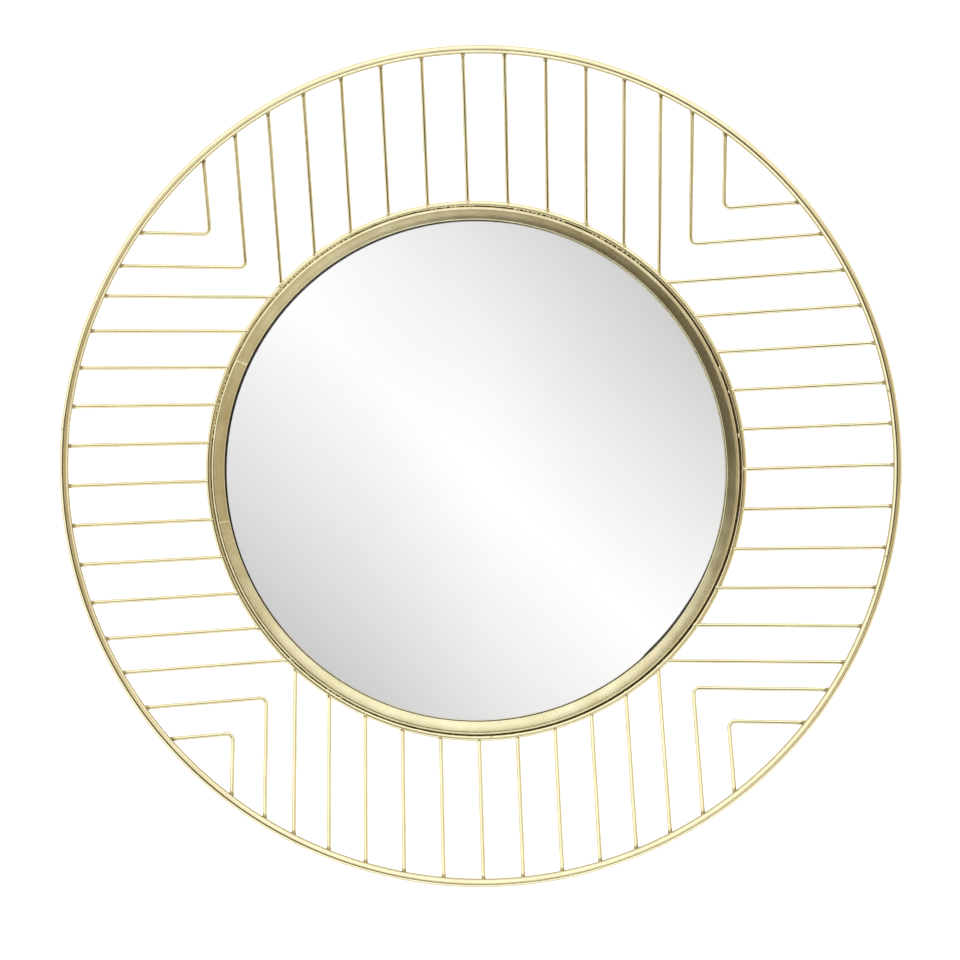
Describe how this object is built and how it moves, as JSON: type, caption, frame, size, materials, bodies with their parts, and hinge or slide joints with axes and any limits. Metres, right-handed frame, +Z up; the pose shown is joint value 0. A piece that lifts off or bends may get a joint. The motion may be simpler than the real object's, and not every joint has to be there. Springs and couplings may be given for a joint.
{
  "type": "wall mirror",
  "caption": "Round wall mirror: a framed glass in the middle of a dished rim of straight and bent gold wires, with a keyhole hanger on its back.",
  "frame": {"origin": "the hanging mount: the point on the hanger plate's back face, just above its slot, that bears on the nail", "axes": "+Z up, the glass faces -Y, the wall is the plane Y = 0, +X to the right of someone facing the mirror"},
  "size_m": [0.8, 0.0648, 0.8],
  "materials": {
    "gold_paint": "champagne gold, satin gloss",
    "mirror": "polished silvered glass",
    "fibreboard": "bare brown fibreboard",
    "zinc_plate": "dull zinc"
  },
  "bodies": {
    "root": {"back_board": "fibreboard", "corner_wire_lower_left_1": "gold_paint", "corner_wire_lower_left_2": "gold_paint", "corner_wire_lower_right_1": "gold_paint", "corner_wire_lower_right_2": "gold_paint", "corner_wire_upper_left_1": "gold_paint", "corner_wire_upper_left_2": "gold_paint", "corner_wire_upper_right_1": "gold_paint", "corner_wire_upper_right_2": "gold_paint", "frame_band": "gold_paint", "hanger_plate": "zinc_plate", "inner_ring": "gold_paint", "mirror_glass": "mirror", "outer_ring": "gold_paint", "wire_bottom_01": "gold_paint", "wire_bottom_02": "gold_paint", "wire_bottom_03": "gold_paint", "wire_bottom_04": "gold_paint", "wire_bottom_05": "gold_paint", "wire_bottom_06": "gold_paint", "wire_bottom_07": "gold_paint", "wire_bottom_08": "gold_paint", "wire_bottom_09": "gold_paint", "wire_bottom_10": "gold_paint", "wire_bottom_11": "gold_paint", "wire_left_01": "gold_paint", "wire_left_02": "gold_paint", "wire_left_03": "gold_paint", "wire_left_04": "gold_paint", "wire_left_05": "gold_paint", "wire_left_06": "gold_paint", "wire_left_07": "gold_paint", "wire_left_08": "gold_paint", "wire_left_09": "gold_paint", "wire_left_10": "gold_paint", "wire_left_11": "gold_paint", "wire_right_01": "gold_paint", "wire_right_02": "gold_paint", "wire_right_03": "gold_paint", "wire_right_04": "gold_paint", "wire_right_05": "gold_paint", "wire_right_06": "gold_paint", "wire_right_07": "gold_paint", "wire_right_08": "gold_paint", "wire_right_09": "gold_paint", "wire_right_10": "gold_paint", "wire_right_11": "gold_paint", "wire_top_01": "gold_paint", "wire_top_02": "gold_paint", "wire_top_03": "gold_paint", "wire_top_04": "gold_paint", "wire_top_05": "gold_paint", "wire_top_06": "gold_paint", "wire_top_07": "gold_paint", "wire_top_08": "gold_paint", "wire_top_09": "gold_paint", "wire_top_10": "gold_paint", "wire_top_11": "gold_paint"}
  },
  "joints": []
}
